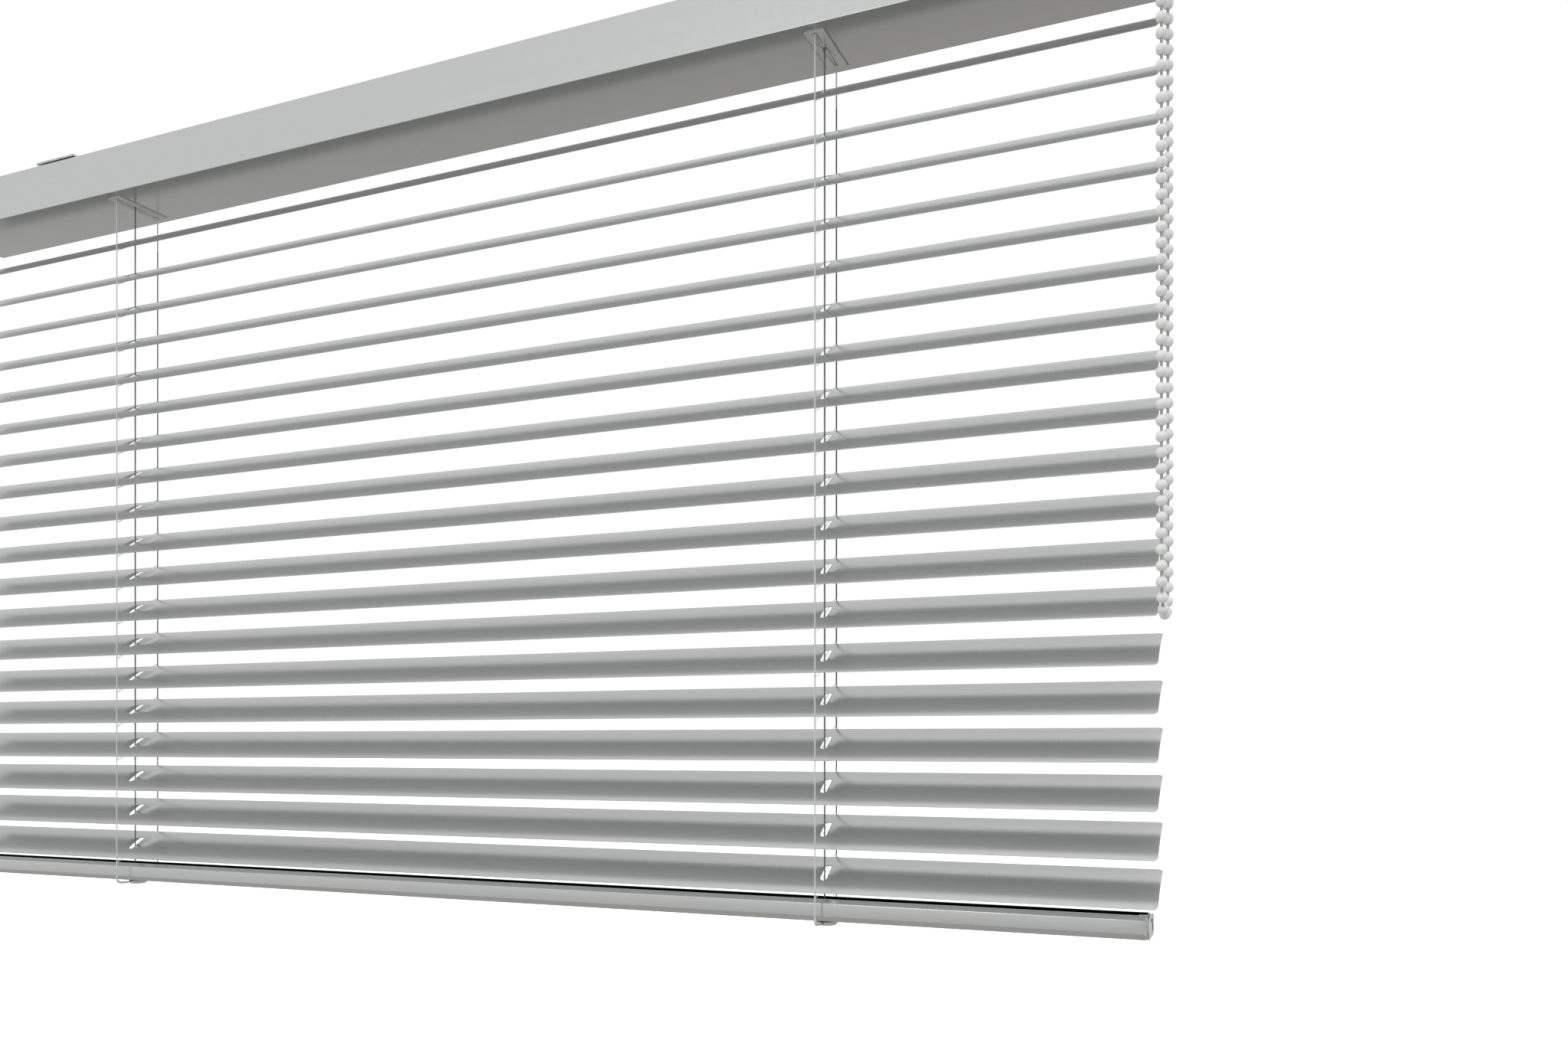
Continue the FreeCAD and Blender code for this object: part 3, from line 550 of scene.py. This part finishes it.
def slat_mesh():
    """One slat's middle surface, with rounded corners and round-ended slots."""
    straight = SLOT_HALF_LENGTH - SLOT_HALF_WIDTH
    outer = [4.7, 5.8, 7.0, 8.2, 9.4, 10.5, 11.4, 12.1, 12.5]
    inner = [SLOT_Y + straight * share for share in (-1, -0.6, -0.2, 0.2, 0.6, 1)]
    rows = [-y * MM for y in reversed(outer)] + inner + [y * MM for y in outer]
    columns = slat_columns()
    grid = {}
    points, faces = [], []

    def across_slot(x):
        return x - math.copysign(LADDER_X, x) - SLOT_SHIFT

    def in_slot(x):
        return abs(across_slot(x)) < SLOT_HALF_WIDTH + 1e-7

    def place(column, row):
        if (column, row) in grid:
            return grid[column, row]
        x, y = columns[column], rows[row]
        past = abs(x) - (SLAT_HALF_LENGTH - SLAT_CORNER)
        if past > 0:
            reach = SLAT_HALF_WIDTH - SLAT_CORNER
            reach += math.sqrt(max(0, SLAT_CORNER**2 - past**2))
            y *= reach / SLAT_HALF_WIDTH
        if in_slot(x) and abs(y - SLOT_Y) > straight - 1e-7:
            sign = math.copysign(1, y - SLOT_Y)
            edge, start = sign * SLAT_HALF_WIDTH, SLOT_Y + sign * straight
            rim = start + sign * math.sqrt(max(0, SLOT_HALF_WIDTH**2 - across_slot(x) ** 2))
            y = rim + (y - start) / (edge - start) * (edge - rim)
        grid[column, row] = len(points)
        points.append((x, y, crown_height(y)))
        return grid[column, row]

    for column in range(len(columns) - 1):
        for row in range(len(rows) - 1):
            inside = abs((rows[row] + rows[row + 1]) / 2 - SLOT_Y) < straight
            if inside and in_slot(columns[column]) and in_slot(columns[column + 1]):
                continue
            corners = ((column, row), (column + 1, row), (column + 1, row + 1), (column, row + 1))
            faces.append([place(*corner) for corner in corners])
    return points, faces


def slats():
    """The slats, which share one mesh, each tilted on its own body."""
    points, faces = slat_mesh()
    first = piece("slat_strip_01", points, faces, SLAT_COAT)
    mesh = first.data
    for index in range(SLAT_COUNT):
        name = f"slat_strip_{index + 1:02d}"
        made = first if index == 0 else bpy.data.objects.new(name, mesh)
        if index:
            bpy.context.scene.collection.objects.link(made)
        made.location = (0, 0, TOP_SLAT_Z - index * SLAT_PITCH)
        made.rotation_euler = (SLAT_TILT, 0, 0)
        solid = made.modifiers.new("thickness", "SOLIDIFY")
        solid.thickness = SLAT_THICK
        solid.offset = 0
        bevel = made.modifiers.new("rim", "BEVEL")
        bevel.width = 0.06 * MM
        bevel.segments = 2
        bevel.limit_method = "ANGLE"
        bevel.angle_limit = math.radians(50)
        fit(made, f"slat_{index + 1:02d}_body", "slat_coat", f"slat_{index + 1:02d}")


def rungs():
    """The ladders' cross threads: two under each slat at each ladder, from string to string."""
    radius = 0.13 * MM
    under = -(SLAT_THICK / 2 + radius)
    lean = Matrix.Rotation(SLAT_TILT, 3, "X")
    section = twisted(2, 0.9 * MM, 0.12)
    front = -(STRING_Y - under * math.sin(SLAT_TILT)) / math.cos(SLAT_TILT)
    rear = (STRING_Y + under * math.sin(SLAT_TILT)) / math.cos(SLAT_TILT)
    for index in range(SLAT_COUNT):
        centre = Vector((0, 0, TOP_SLAT_Z - index * SLAT_PITCH))
        threads = []
        for _, side in SIDES:
            for shift in (-0.9 * MM, 0.9 * MM):
                x = side * LADDER_X
                route = [
                    (x, front, under),
                    (x + shift * 0.8, front + 2.4 * MM, under - 0.02 * MM),
                    (x + shift, -SLAT_HALF_WIDTH + 1 * MM, under),
                    (x + shift, 0, under),
                    (x + shift, SLAT_HALF_WIDTH - 1 * MM, under),
                    (x + shift * 0.8, rear - 2.4 * MM, under - 0.02 * MM),
                    (x, rear, under),
                ]
                line = read_route([centre + lean @ Vector(p) for p in route], 0.45 * MM)
                threads.append(tube(line, radius, section, sides=6))
        name = f"rung_threads_{index + 1:02d}"
        made = piece(name, *gather(threads), RUNG_COAT)
        fit(made, f"slat_{index + 1:02d}_body", "ladder_string")


# ---------------------------------------------------------------- strings and lift cords
SPOOL_SHIFT = 11 * MM
CORD_LAY = twisted(3, 3.2 * MM, 0.15)


def straight_line(x, y, top, bottom, step):
    """Points straight down from top to bottom, about a step apart."""
    count = int(round((top - bottom) / step)) + 1
    heights = np.linspace(top, bottom, count)
    return np.stack([np.full(count, x), np.full(count, y), heights], 1)


def gathered(made):
    """Give the stretch between the first and the last slat its own copy of the mesh."""
    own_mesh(made)


def ladder_strings():
    """The ladders' four strings: tops at the drums, long lengths, and tails into the plugs."""
    section = braided(3, 6.0 * MM, 0.13)
    step = 0.25 * MM
    turn_start = LOW_SLAT_Z - RAIL_FLOOR - 2.2 * MM

    def hook(angle, distance):
        """The tail's section, which swells over its turn under the rail."""
        past = (distance - turn_start) / MM
        swell = np.clip(np.minimum(past / 2.6, (10.8 - past) / 3.2), 0, 1)
        return section(angle, distance) * (1 + 1.1 * swell)

    segments = [f"ladder_segment_{count:02d}" for count in range(2, SLAT_COUNT + 1)]
    # the rear lengths take the darker copy, painted shade of the slats' shadow
    for name, depth, material in (("front", -1, STRING_COAT), ("rear", 1, REAR_STRING_PAINTED_SHADE)):
        lines = [
            straight_line(side * LADDER_X, depth * STRING_Y, TOP_SLAT_Z, LOW_SLAT_Z, step)
            for _, side in SIDES
        ]
        lengths = gather([tube(line, STRING_RADIUS, section) for line in lines])
        made = piece(f"ladder_string_lengths_{name}", *lengths, material)
        fit(made, ROOT, "ladder_string", *segments)
        gathered(made)

    tops, tails = [], []
    for _, side in SIDES:
        x = side * LADDER_X
        for depth in (-1, 1):
            top_route = [
                (x, depth * 8.8 * MM, SHAFT_Z),
                (x, depth * 9.1 * MM, SHAFT_Z - 3 * MM),
                (x, depth * STRING_Y, -24.4 * MM),
                (x, depth * STRING_Y, -28.5 * MM),
                (x, depth * STRING_Y, TOP_SLAT_Z),
            ]
            tops.append(tube(read_route(top_route, step), STRING_RADIUS, section))
            tail_route = [
                (x, depth * STRING_Y, LOW_SLAT_Z),
                (x, depth * STRING_Y, RAIL_FLOOR + 2.5 * MM),
                (x, depth * 13.3 * MM, RAIL_FLOOR + 0.6 * MM),
                (x, depth * 12.4 * MM, RAIL_FLOOR - 0.7 * MM),
                (x, depth * 10.4 * MM, RAIL_FLOOR - 1.15 * MM),
                (x, depth * 8.3 * MM, RAIL_FLOOR - 1.3 * MM),
                (x, depth * 6.3 * MM, RAIL_FLOOR - 1.4 * MM),
                (x, depth * 3.4 * MM, RAIL_FLOOR - 1.4 * MM),
            ]
            tails.append(tube(read_route(tail_route, step), STRING_RADIUS, hook))
    fit(piece("ladder_string_tops", *gather(tops), STRING_COAT), ROOT, "ladder_string",
        "ladder_tops")
    fit(piece("ladder_string_tails", *gather(tails), STRING_COAT), RAIL_BODY, "ladder_string",
        "ladder_tails")


def lift_cords():
    """The lift cords: tops from the spools, long lengths, and knotted ends in the rail."""
    step = 0.28 * MM
    nodes = ("lift_cord_left", "lift_cord_right")
    middles, tops, tails = [], [], []
    for _, side in SIDES:
        x = side * LADDER_X
        line = straight_line(x, CORD_Y, TOP_SLAT_Z, LOW_SLAT_Z, step)
        middles.append(tube(line, CORD_RADIUS, CORD_LAY, sides=12))
        top_route = [
            (x + SPOOL_SHIFT, -8.4 * MM, SHAFT_Z),
            (x + SPOOL_SHIFT, -8.4 * MM, -21 * MM),
            (x + 10.4 * MM, -8.1 * MM, -24.2 * MM),
            (x + 1.0 * MM, -2.1 * MM, -24.3 * MM),
            (x, CORD_Y, -27 * MM),
            (x, CORD_Y, -33 * MM),
            (x, CORD_Y, TOP_SLAT_Z),
        ]
        tops.append(tube(read_route(top_route, step), CORD_RADIUS, CORD_LAY, sides=12))
        tail_line = straight_line(x, CORD_Y, LOW_SLAT_Z, RAIL_FLOOR + 3.6 * MM, step)
        tails.append(tube(tail_line, CORD_RADIUS, CORD_LAY, sides=12))
        tails.append(overhand_knot((x, CORD_Y, RAIL_FLOOR + 3.1 * MM)))
    made = piece("lift_cord_lengths", *gather(middles), LIFT_COAT)
    fit(made, ROOT, "lift_cord", *nodes)
    gathered(made)
    fit(piece("lift_cord_tops", *gather(tops), LIFT_COAT), ROOT, "lift_cord", *nodes)
    fit(piece("lift_cord_ends", *gather(tails), LIFT_COAT), RAIL_BODY, "lift_cord", *nodes)


def overhand_knot(centre):
    """A small tied knot: a trefoil of the cord."""
    spread, height = 0.2604 * MM, 0.546 * MM
    turns = np.linspace(0, 2 * math.pi, 90)
    line = np.stack(
        [
            (np.sin(turns) + 2 * np.sin(2 * turns)) * spread,
            (np.cos(turns) - 2 * np.cos(2 * turns)) * spread,
            -np.sin(3 * turns) * height,
        ],
        1,
    )
    return tube(line + np.array(centre), CORD_RADIUS, CORD_LAY)


def spool_windings():
    """The turns of lift cord still on each spool when the blind is down."""
    turn_count, radius, pitch = 3.25, 8.05 * MM, 0.86 * MM
    coils = []
    for _, side in SIDES:
        start = side * LADDER_X + SPOOL_SHIFT
        turns = np.linspace(0, turn_count * 2 * math.pi, 360)
        line = np.stack(
            [
                start + turns / (2 * math.pi) * pitch,
                -radius * np.cos(turns),
                SHAFT_Z - radius * np.sin(turns),
            ],
            1,
        )
        coils.append(tube(line, CORD_RADIUS, CORD_LAY))
    made = piece("spool_windings", *gather(coils), LIFT_COAT)
    fit(made, "drive_shaft_unit", "lift_cord")


# ---------------------------------------------------------------- bottom rail
RAIL_WALL = 0.8  # in millimetres, as the rail's section is
ROUND_END_ANGLES = (30, 60, 90, 120, 150)


def rounded(corners, closed=False):
    """A polyline with each corner (x, y, radius) turned into an arc."""
    path = []
    total = len(corners)
    for index, (x, y, radius) in enumerate(corners):
        here = Vector((x, y))
        if not radius or (not closed and index in (0, total - 1)):
            path.append(here)
            continue
        back = (Vector(corners[index - 1][:2]) - here).normalized()
        ahead = (Vector(corners[(index + 1) % total][:2]) - here).normalized()
        half = back.angle(ahead) / 2
        reach = radius / math.tan(half)
        centre = here + (back + ahead).normalized() * (radius / math.sin(half))
        start = here + back * reach - centre
        sweep = (here + back * reach - centre).angle_signed(here + ahead * reach - centre)
        steps = max(3, int(abs(sweep) / math.radians(12)))
        for step in range(steps + 1):
            angle = -sweep * step / steps
            turned = Vector(
                (
                    start.x * math.cos(angle) - start.y * math.sin(angle),
                    start.x * math.sin(angle) + start.y * math.cos(angle),
                )
            )
            path.append(centre + turned)
    return path


def sheet_section(path, wall):
    """A bent sheet's closed section from its outer line: outside, round end, inside, round end."""
    normals = []
    for index in range(len(path)):
        before = path[max(0, index - 1)]
        after = path[min(len(path) - 1, index + 1)]
        along = (after - before).normalized()
        normals.append(Vector((-along.y, along.x)))
    inner = [p + n * wall for p, n in zip(path, normals)]

    def round_end(point, other, along):
        centre = (point + other) / 2
        across = (point - other) / 2
        return [
            centre + across * math.cos(a) + along * across.length * math.sin(a)
            for a in map(math.radians, ROUND_END_ANGLES)
        ]

    ahead = (path[-1] - path[-2]).normalized()
    behind = (path[0] - path[1]).normalized()
    section = list(path) + round_end(path[-1], inner[-1], ahead)
    section += list(reversed(inner)) + round_end(inner[0], path[0], behind)
    return section, len(path)


def bottom_rail():
    """The rail's C-section: hemmed lips, sloping shoulders, faintly bowed faces, bevelled floor."""
    top, low = RAIL_TOP / MM, RAIL_FLOOR / MM
    bow = 0.12
    right = [
        (5.3, top, 0),
        (5.75, top, 0.2),
        (9.0, top - 1.45, 0.3),
        (9.0 + bow, (top + low) / 2 + 0.6, 30),
        (9.0, low + 2.3, 0.6),
        (8.0, low, 0.5),
    ]
    path = rounded([(-y, z, r) for y, z, r in right] + list(reversed(right)))
    section, outside = sheet_section(path, RAIL_WALL)
    cuts = np.linspace(-RAIL_END, RAIL_END, 47)
    count = len(section)
    points = [(x, p.x * MM, p.y * MM) for x in cuts for p in section]
    faces, indices = [], []
    for row in range(len(cuts) - 1):
        for index in range(count):
            after = (index + 1) % count
            start, other = row * count, (row + 1) * count
            faces.append((start + index, other + index, other + after, start + after))
            # the lip ends and the inside of the channel get the near-black painted shade
            indices.append(1 if outside <= index < count - 1 else 0)
    last_inner = count - len(ROUND_END_ANGLES) - 1
    for row in (0, len(cuts) - 1):
        start = row * count
        for index in range(outside - 1):
            mirror = last_inner - index
            quad = (start + index, start + index + 1, start + mirror - 1, start + mirror)
            faces.append(quad if row == 0 else tuple(reversed(quad)))
            indices.append(0)
    made = piece("bottom_rail_profile", points, faces, RAIL_COAT, PAINTED_SHADE_BLACK, indices=indices)
    fit(made, RAIL_BODY, "rail_coat", "bottom_rail")


def cap_outline(inset):
    """The end cap's outline in the YZ plane, in millimetres, closed."""
    top, low = RAIL_TOP / MM, RAIL_FLOOR / MM
    right = [
        (5.2, top + 0.05 - inset, 1.2),
        (9.05 - inset, top - 1.35, 0.8),
        (9.05 - inset, low + 1.9, 1.0),
        (7.9, low - 0.05 + inset, 0.6),
    ]
    left = [(-y, z, radius) for y, z, radius in right]
    return rounded(left + list(reversed(right)), closed=True)


def rail_cap(name, side):
    """An end cap: a shallow groove beside the rail, a collar, a softened face with two recesses."""
    steps = [
        (-3.6, 1.0),
        (0.0, 1.0),
        (0.02, 0.10),
        (0.40, 0.10),
        (0.46, 0.0),
        (1.25, 0.0),
        (1.45, 0.08),
        (1.62, 0.26),
        (1.7, 0.55),
        (1.7, 0.85),
    ]
    rings = []
    for along, inset in steps:
        ring = cap_outline(inset)
        rings.append([(side * (RAIL_END + along * MM), p.x * MM, p.y * MM) for p in ring])
    count = len(rings[0])
    points = [p for ring in rings for p in ring]
    faces = []
    for row in range(len(rings) - 1):
        for index in range(count):
            after = (index + 1) % count
            quad = (
                row * count + index,
                (row + 1) * count + index,
                (row + 1) * count + after,
                row * count + after,
            )
            faces.append(quad if side > 0 else tuple(reversed(quad)))
    first = tuple(range(count))
    last = tuple(range(len(points) - count, len(points)))
    faces.append(tuple(reversed(last)) if side > 0 else last)
    faces.append(first if side > 0 else tuple(reversed(first)))
    made = piece(f"rail_cap_{name}", points, faces, GREY_PLASTIC, PAINTED_SHADE_BLACK, flat=True)
    face_x = side * (RAIL_END + CAP_THICK)
    z = RAIL_TOP
    carve(made, (face_x, 3.5 * MM, z - 5.3 * MM), (1.9 * MM, 2.6 * MM, 3.1 * MM))
    carve(made, (face_x, 0.6 * MM, z - 2.5 * MM), (0.5 * MM, 4.0 * MM, 1.5 * MM))
    shade_by_angle(made, 32)
    fit(made, RAIL_BODY, "grey_plastic", f"rail_end_cap_{name}")


def block(centre, size):
    """A plain block's points and faces, used only to cut recesses."""
    signs = [(x, y, z) for x in (-1, 1) for y in (-1, 1) for z in (-1, 1)]
    points = [tuple(c + s * d / 2 for c, s, d in zip(centre, sign, size)) for sign in signs]
    faces = [(0, 1, 3, 2), (4, 6, 7, 5), (0, 4, 5, 1), (2, 3, 7, 6), (0, 2, 6, 4), (1, 5, 7, 3)]
    return points, faces


def carve(made, centre, size):
    """Cut a plain block out of a piece."""
    subtract(made, *block(centre, size))


def subtract(made, points, faces):
    """Cut a closed shape out of a piece, and keep the result as its mesh."""
    tool = piece("cutter", points, faces, made.data.materials[0], flat=True)
    cutter = made.modifiers.new("cut", "BOOLEAN")
    cutter.operation = "DIFFERENCE"
    cutter.solver = "EXACT"
    cutter.object = tool
    bpy.context.view_layer.update()
    graph = bpy.context.evaluated_depsgraph_get()
    mesh = bpy.data.meshes.new_from_object(made.evaluated_get(graph))
    made.modifiers.clear()
    made.data = mesh
    bpy.data.objects.remove(tool)


def shade_by_angle(made, angle):
    """Smooth faces, with edges sharper than the angle kept crisp."""
    mesh = made.data
    mesh.polygons.foreach_set("use_smooth", [True] * len(mesh.polygons))
    mesh.set_sharp_from_angle(angle=math.radians(angle))


def ladder_plugs():
    """The buttons under the rail that hold the ladders' strings, each with a string hole."""
    profile = [
        (-2.7, 0.0001),
        (-2.7, 2.9),
        (-2.6, 3.5),
        (-2.3, 4.05),
        (-1.85, 4.45),
        (-1.5, 4.7),
        (-1.0, 4.8),
        (-0.85, 4.74),
        (-0.8, 4.0),
        (-0.02, 3.9),
        (-0.02, 2.9),
        (2.0, 2.85),
        (2.2, 2.6),
        (2.2, 0.0001),
    ]
    turns, shaded_groove_rows = 48, (7, 8)
    for name, side in SIDES:
        centre = (side * LADDER_X + PLUG_SHIFT, 0, RAIL_FLOOR)
        shape = lathe([(a * MM, r * MM) for a, r in profile], centre, (0, 0, 1), turns)
        # the groove's rows get the near-black painted shade of the gap under the rail
        indices = [1 if index // turns in shaded_groove_rows else 0 for index in range(len(shape[1]))]
        made = piece(f"ladder_plug_{name}", *shape, GREY_PLASTIC, PAINTED_SHADE_BLACK, indices=indices, flat=True)
        hole = lathe(
            [(-8 * MM, 0.6 * MM), (8 * MM, 0.6 * MM)],
            (side * LADDER_X + 0.1 * MM, 0, RAIL_FLOOR - 1.4 * MM),
            (0, 1, 0),
            turns=16,
        )
        subtract(made, *hole)
        carve(made, (centre[0], 0, RAIL_FLOOR - 2.7 * MM), (3.4 * MM, 0.7 * MM, 0.9 * MM))
        shade_by_angle(made, 35)
        fit(made, RAIL_BODY, "grey_plastic", "ladder_plugs")


# ---------------------------------------------------------------- control chain
CHAIN_ROUTE = [
    (0.353, -0.02856, -0.0342),
    (0.353, -0.02856, -0.2490),
    (0.353, -0.02856, -0.27455),
    (0.353, -0.02121, -0.2819),
    (0.353, -0.01083, -0.2819),
    (0.353, -0.00348, -0.27455),
    (0.353, -0.00348, -0.2490),
    (0.353, -0.00348, -0.0342),
]
CHAIN_CORD_DIAMETER = 0.0011
BEAD_PITCH = 6 * MM
BEAD_RADIUS = 2.15  # in millimetres, as the bead's profile is


def bead(centre, tangent):
    """A moulded bead: a ball with a mould line round it and a small mouth at each cord hole."""
    profile = [(-2.02, 0.55), (-2.06, 0.72)]
    steps, reach = 14, 70
    for step in range(1, steps):
        angle = math.radians(-reach + 2 * reach * step / steps)
        seam = 0.025 if step == steps // 2 else 0
        profile.append((BEAD_RADIUS * math.sin(angle), BEAD_RADIUS * math.cos(angle) + seam))
    profile += [(2.06, 0.72), (2.02, 0.55)]
    scaled = [(a * MM, r * MM) for a, r in profile]
    return lathe(scaled, centre, tangent, turns=20)


def control_chain():
    """The hanging loop: the cord as one curve, and the beads on it as one piece."""
    curve = route_curve("chain_cord", CHAIN_ROUTE)
    curve.data.bevel_depth = CHAIN_CORD_DIAMETER / 2
    curve.data.bevel_resolution = 3
    curve.data.use_fill_caps = True
    curve.data.materials.append(CHAIN_CORD_COAT)
    fit(curve, ROOT, "chain_plastic", "control_chain")
    line = read_route(CHAIN_ROUTE, 0.25 * MM)
    tangents, _, _ = frames_along(line)
    every = int(round(BEAD_PITCH / np.linalg.norm(line[1] - line[0])))
    parts = [
        bead(line[index], tangents[index]) for index in range(every // 2, len(line), every)
    ]
    beads = piece("chain_beads", *gather(parts), BEAD_PLASTIC)
    fit(beads, ROOT, "chain_plastic", "control_chain")


# ---------------------------------------------------------------- the CAD's own pieces
def dress(node, material, rim=0.0):
    """Give a CAD node that stays its finish, and softened edges."""
    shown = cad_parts[node]
    shown.data.materials.clear()
    shown.data.materials.append(material)
    if rim:
        weld = shown.modifiers.new("weld", "WELD")
        weld.merge_threshold = 1e-6
        soften(shown, rim, segments=2, angle=40)


def carried_over():
    """The finishes of the CAD pieces that show as they are."""
    dress("headrail", RAIL_COAT, 0.2 * MM)
    dress("end_cap_left", GREY_PLASTIC, 0.35 * MM)
    dress("control_housing", GREY_PLASTIC, 0.3 * MM)
    dress("control_cover", GREY_PLASTIC, 0.4 * MM)
    dress("mounting_brackets", ZINC, 0.15 * MM)
    dress("cover_screws", ZINC, 0.1 * MM)
    dress("drive_shaft", ZINC, 0.2 * MM)
    dress("drum_cradles", MECHANISM, 0.2 * MM)
    for name, _ in SIDES:
        dress(f"lift_spool_{name}", MECHANISM)
        dress(f"tilt_drum_{name}", MECHANISM)
    dress("chain_wheel", MECHANISM)
    dress("shaft_gear", MECHANISM)


camera()
floor()
light()
control_chain()
slats()
rungs()
ladder_strings()
lift_cords()
spool_windings()
bottom_rail()
for cap_name, cap_side in SIDES:
    rail_cap(cap_name, cap_side)
ladder_plugs()
carried_over()
